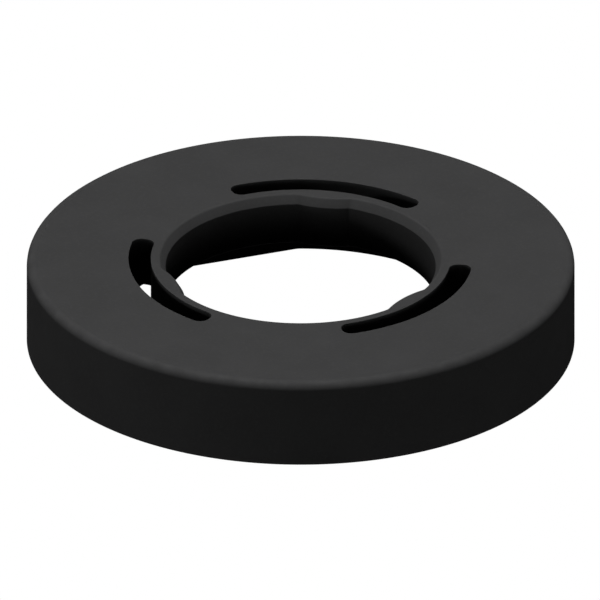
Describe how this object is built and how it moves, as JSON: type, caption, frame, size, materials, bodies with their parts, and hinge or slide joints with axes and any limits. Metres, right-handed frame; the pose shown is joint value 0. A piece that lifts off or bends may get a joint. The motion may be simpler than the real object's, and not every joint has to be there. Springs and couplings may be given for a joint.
{
  "type": "toilet flange",
  "caption": "Round push-on cover flange for a tube by a toilet: a flat black disc with a chamfered bore and spring tongues round it that grip the tube.",
  "frame": {"origin": "centre of the underside, on the bore's axis", "axes": "+Z along the bore axis, from the underside towards the visible face; the back tongue is 80 degrees from +X towards +Y"},
  "size_m": [0.07, 0.07, 0.0117],
  "materials": {
    "black_plastic": "fine moulded grain, matt black, coloured through"
  },
  "bodies": {
    "flange": {"flange_body": "black_plastic"},
    "back_tongue": {"spring_tongue_back": "black_plastic"},
    "left_tongue": {"spring_tongue_left": "black_plastic"},
    "right_tongue": {"spring_tongue_right": "black_plastic"}
  },
  "joints": [
    {"name": "back_tongue_spring", "type": "slide", "parent": "flange", "child": "back_tongue", "axis": [0.1736, 0.9848, 0], "range_m": [0, 0.0008], "stiffness_N_per_m": 170000},
    {"name": "left_tongue_spring", "type": "slide", "parent": "flange", "child": "left_tongue", "axis": [-0.9397, -0.342, 0], "range_m": [0, 0.0008], "stiffness_N_per_m": 170000},
    {"name": "right_tongue_spring", "type": "slide", "parent": "flange", "child": "right_tongue", "axis": [0.766, -0.6428, 0], "range_m": [0, 0.0008], "stiffness_N_per_m": 170000}
  ]
}
